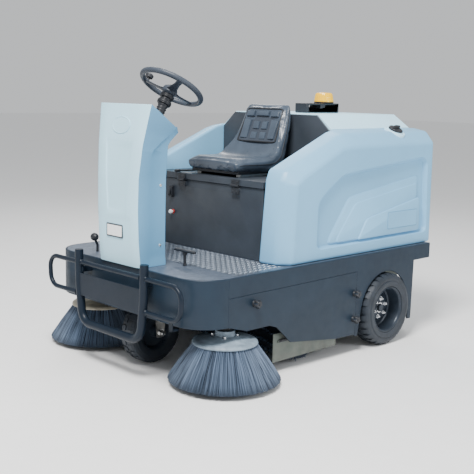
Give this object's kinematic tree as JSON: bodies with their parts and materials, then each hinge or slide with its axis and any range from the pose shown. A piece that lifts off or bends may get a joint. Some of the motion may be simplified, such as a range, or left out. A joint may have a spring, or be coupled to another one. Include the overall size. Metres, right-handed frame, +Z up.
{
  "type": "ride-on sweeper",
  "caption": "Ride-on floor sweeper with a steering console, a tipping seat, conical side brushes, a main roller brush, a pull-out hopper and a beacon.",
  "frame": {"origin": "on the ground under the centre of the overall box", "axes": "+Z up; the machine drives towards -Y; +X is the driver's left"},
  "size_m": [1.52, 1.9123, 1.4679],
  "materials": {
    "frame_paint": "satin dark slate powder coat",
    "tread_plate": "bright chequer plate",
    "console_blue": "steel blue moulded shell",
    "pale_blue": "pale blue moulded shell",
    "cover_blue": "light blue moulded shell",
    "dark_panel": "dark satin paint",
    "black_plastic": "fine grain",
    "grip": "satin grip",
    "seat_vinyl": "black vinyl",
    "battery_case": "matte",
    "zinc_steel": "zinc plated",
    "wheel_hub": "dull cast",
    "dark_rim": "dark satin paint",
    "tyre_rubber": "solid rubber",
    "flap_rubber": "matte",
    "bristle": "blue-grey nylon bristle",
    "green_grey": "worn green-grey paint",
    "disc_grey": "satin",
    "disc_beige": "satin",
    "amber_lens": "clear amber"
  },
  "bodies": {
    "chassis": {"frame_rails": "frame_paint", "deck_plate": "tread_plate", "skirt_front": "frame_paint", "skirt_left": "frame_paint", "skirt_right": "frame_paint", "rear_beam": "frame_paint", "front_bumper": "frame_paint", "console_shell": "console_blue", "console_front": "pale_blue", "dash_panel": "black_plastic", "column_tube": "black_plastic", "seat_box": "dark_panel", "battery_pack": "battery_case", "cover_left": "cover_blue", "cover_right": "cover_blue", "bulkhead": "dark_panel", "rear_panel": "dark_panel", "filter_box": "dark_panel", "brush_housing": "green_grey", "rear_flap": "flap_rubber", "stub_axle_left": "frame_paint", "stub_axle_right": "frame_paint"},
    "steering": {"steering_wheel": "grip"},
    "horn": {"horn_button": "black_plastic"},
    "fork": {"front_fork": "zinc_steel"},
    "front_wheel": {"front_rim": "wheel_hub", "front_tyre": "tyre_rubber"},
    "rear_wheel_left": {"rear_rim_left": "dark_rim", "rear_tyre_left": "tyre_rubber"},
    "rear_wheel_right": {"rear_rim_right": "dark_rim", "rear_tyre_right": "tyre_rubber"},
    "brush_arm_left": {"brush_arm_left": "zinc_steel"},
    "brush_arm_right": {"brush_arm_right": "zinc_steel"},
    "side_brush_left": {"brush_disc_left": "disc_grey", "bristles_left": "bristle"},
    "side_brush_right": {"brush_disc_right": "disc_beige", "bristles_right": "bristle"},
    "main_brush": {"main_brush_core": "zinc_steel", "main_brush_bristles": "bristle"},
    "lid": {"seat_lid": "dark_panel", "seat_rails": "zinc_steel"},
    "seat": {"seat_pan": "black_plastic", "seat_cushion": "seat_vinyl", "seat_back": "seat_vinyl"},
    "seat_lever": {"seat_lever": "black_plastic"},
    "brake_pedal": {"brake_pedal": "black_plastic"},
    "speed_pedal": {"speed_pedal": "black_plastic"},
    "tank_cap": {"tank_cap": "black_plastic"},
    "hood": {"rear_hood": "pale_blue", "beacon_bracket": "black_plastic", "beacon_base": "black_plastic", "beacon_lens": "amber_lens"},
    "hopper": {"hopper": "green_grey"},
    "access_panel_left": {"access_panel_left": "frame_paint"},
    "access_panel_right": {"access_panel_right": "frame_paint"}
  },
  "joints": [
    {"name": "fork_steer", "type": "hinge", "parent": "chassis", "child": "fork", "pos_m": [0, -0.682, 0.4], "axis": [0, 0, 1], "range_deg": [-67.5, 67.5]},
    {"name": "steering_wheel_turn", "type": "hinge", "parent": "chassis", "child": "steering", "pos_m": [0, -0.563, 1.373], "axis": [0, 0.5225, 0.8526], "range_deg": [-270, 270]},
    {"name": "horn_press", "type": "slide", "parent": "steering", "child": "horn", "axis": [0, -0.5225, -0.8526], "range_m": [0, 0.003], "stiffness_N_per_m": 300, "springref_m": -0.001},
    {"name": "front_wheel_roll", "type": "hinge", "parent": "fork", "child": "front_wheel", "pos_m": [0, -0.682, 0.162], "axis": [1, 0, 0], "continuous": true},
    {"name": "rear_wheel_left_roll", "type": "hinge", "parent": "chassis", "child": "rear_wheel_left", "pos_m": [0.558, 0.487, 0.2], "axis": [1, 0, 0], "continuous": true},
    {"name": "rear_wheel_right_roll", "type": "hinge", "parent": "chassis", "child": "rear_wheel_right", "pos_m": [-0.558, 0.487, 0.2], "axis": [1, 0, 0], "continuous": true},
    {"name": "brush_arm_left_lift", "type": "hinge", "parent": "chassis", "child": "brush_arm_left", "pos_m": [0.492, -0.345, 0.33], "axis": [-1, 0, 0], "range_deg": [-2.2, 8]},
    {"name": "brush_arm_right_lift", "type": "hinge", "parent": "chassis", "child": "brush_arm_right", "pos_m": [-0.492, -0.345, 0.33], "axis": [-1, 0, 0], "range_deg": [-2.2, 8]},
    {"name": "side_brush_left_spin", "type": "hinge", "parent": "brush_arm_left", "child": "side_brush_left", "pos_m": [0.492, -0.6355, 0.1], "axis": [0, 0, 1], "continuous": true},
    {"name": "side_brush_right_spin", "type": "hinge", "parent": "brush_arm_right", "child": "side_brush_right", "pos_m": [-0.492, -0.6355, 0.1], "axis": [0, 0, 1], "continuous": true},
    {"name": "main_brush_spin", "type": "hinge", "parent": "chassis", "child": "main_brush", "pos_m": [0, -0.125, 0.155], "axis": [1, 0, 0], "continuous": true},
    {"name": "seat_lid_tip", "type": "hinge", "parent": "chassis", "child": "lid", "pos_m": [0, -0.319, 0.8912], "axis": [1, 0, 0], "range_deg": [0, 50]},
    {"name": "seat_slide", "type": "slide", "parent": "lid", "child": "seat", "axis": [0, -1, 0], "range_m": [0, 0.09]},
    {"name": "seat_lever_swing", "type": "hinge", "parent": "seat", "child": "seat_lever", "pos_m": [-0.198, -0.12, 0.9325], "axis": [0, 0, -1], "range_deg": [0, 12], "stiffness_Nm_per_rad": 0.5},
    {"name": "brake_pedal_press", "type": "hinge", "parent": "chassis", "child": "brake_pedal", "pos_m": [0.232, -0.675, 0.5274], "axis": [1, 0, 0], "range_deg": [0, 15], "stiffness_Nm_per_rad": 20, "springref_deg": -2.86},
    {"name": "speed_pedal_press", "type": "hinge", "parent": "chassis", "child": "speed_pedal", "pos_m": [-0.335, -0.778, 0.5274], "axis": [1, 0, 0], "range_deg": [0, 15], "stiffness_Nm_per_rad": 12, "springref_deg": -2.86},
    {"name": "tank_cap_turn", "type": "hinge", "parent": "chassis", "child": "tank_cap", "pos_m": [0.48696, 0.645, 1.17053], "axis": [0.3998, 0, 0.9166], "range_deg": [0, 90]},
    {"name": "hood_open", "type": "hinge", "parent": "chassis", "child": "hood", "pos_m": [0, 0.895, 1.166], "axis": [-1, 0, 0], "range_deg": [0, 60]},
    {"name": "hopper_pull", "type": "slide", "parent": "chassis", "child": "hopper", "axis": [0, 1, 0], "range_m": [0, 0.45]},
    {"name": "access_panel_left_off", "type": "slide", "parent": "chassis", "child": "access_panel_left", "axis": [1, 0, 0], "range_m": [0, 0.25]},
    {"name": "access_panel_right_off", "type": "slide", "parent": "chassis", "child": "access_panel_right", "axis": [-1, 0, 0], "range_m": [0, 0.25]}
  ],
  "couplings": [
    {"joint": "steering_wheel_turn", "follows": "fork_steer", "ratio": 4}
  ]
}
